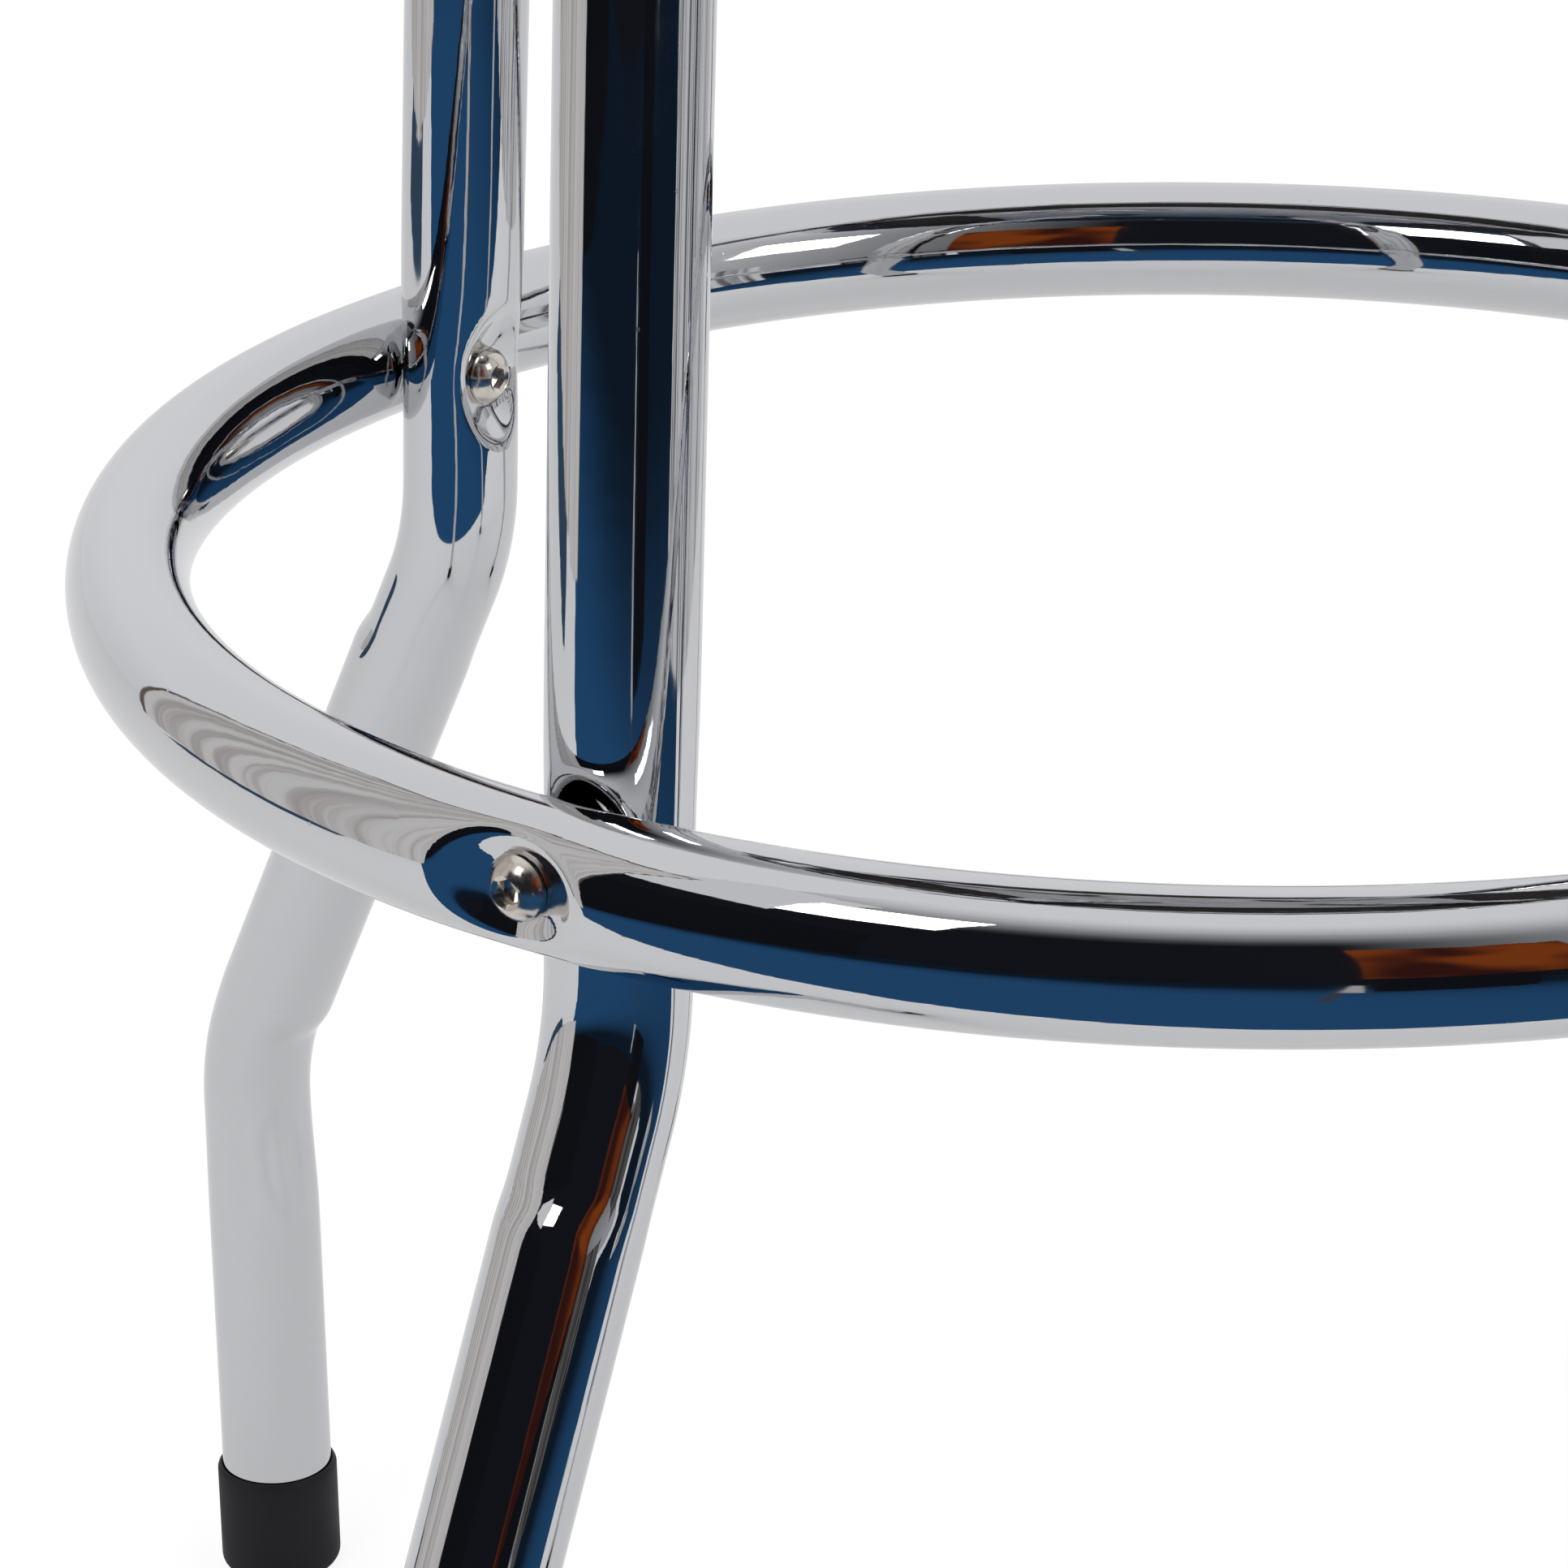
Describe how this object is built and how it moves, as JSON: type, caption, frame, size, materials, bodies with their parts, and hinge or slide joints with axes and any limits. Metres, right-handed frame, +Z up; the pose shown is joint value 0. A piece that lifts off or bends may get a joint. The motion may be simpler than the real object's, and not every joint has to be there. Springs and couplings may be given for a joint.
{
  "type": "bar stool",
  "caption": "Backless swivel bar stool with a padded round seat, bent chrome tube legs, a bolted chrome foot ring and push-on rubber foot tips.",
  "frame": {"origin": "on the floor under the middle of the seat, at the centre of the bounding box's bottom face", "axes": "+Z up along the swivel axis; the legs stand on the diagonals, so -X -Y is the front left leg"},
  "size_m": [0.432, 0.432, 0.762],
  "materials": {
    "chrome_tube": "bright plated",
    "chrome_band": "bright plated",
    "nickel_bolt": "nickel plated",
    "zinc_steel": "zinc plated",
    "bearing_steel": "polished",
    "tip_rubber": "matte",
    "black_plastic": "matte",
    "plywood": "stained black",
    "foam": "open cell",
    "black_vinyl": "fine grain"
  },
  "bodies": {
    "stand": {"front_left_leg": "chrome_tube", "front_right_leg": "chrome_tube", "rear_right_leg": "chrome_tube", "rear_left_leg": "chrome_tube", "front_left_foot_tip": "tip_rubber", "front_right_foot_tip": "tip_rubber", "rear_right_foot_tip": "tip_rubber", "rear_left_foot_tip": "tip_rubber", "foot_tip_washers": "zinc_steel", "leg_end_plugs": "black_plastic", "foot_ring": "chrome_tube", "ring_bolts": "nickel_bolt", "ring_sleeve_nuts": "nickel_bolt", "leg_bolts": "nickel_bolt", "leg_nuts": "zinc_steel", "swivel_base_plate": "zinc_steel", "swivel_kingpin": "zinc_steel", "swivel_kingpin_washer": "black_plastic"},
    "balls": {"swivel_balls": "bearing_steel"},
    "seat": {"swivel_top_plate": "zinc_steel", "swivel_screws": "zinc_steel", "seat_board": "plywood", "seat_foam": "foam", "seat_cover": "black_vinyl", "seat_welt": "black_vinyl", "seat_band": "chrome_band", "band_screws": "zinc_steel", "cover_staples": "zinc_steel"}
  },
  "joints": [
    {"name": "seat_swivel", "type": "hinge", "parent": "stand", "child": "seat", "pos_m": [0, 0, 0.6923], "axis": [0, 0, 1], "continuous": true},
    {"name": "ball_orbit", "type": "hinge", "parent": "stand", "child": "balls", "pos_m": [0, 0, 0.6923], "axis": [0, 0, 1], "continuous": true}
  ],
  "couplings": [
    {"joint": "ball_orbit", "follows": "seat_swivel", "ratio": 0.5}
  ]
}
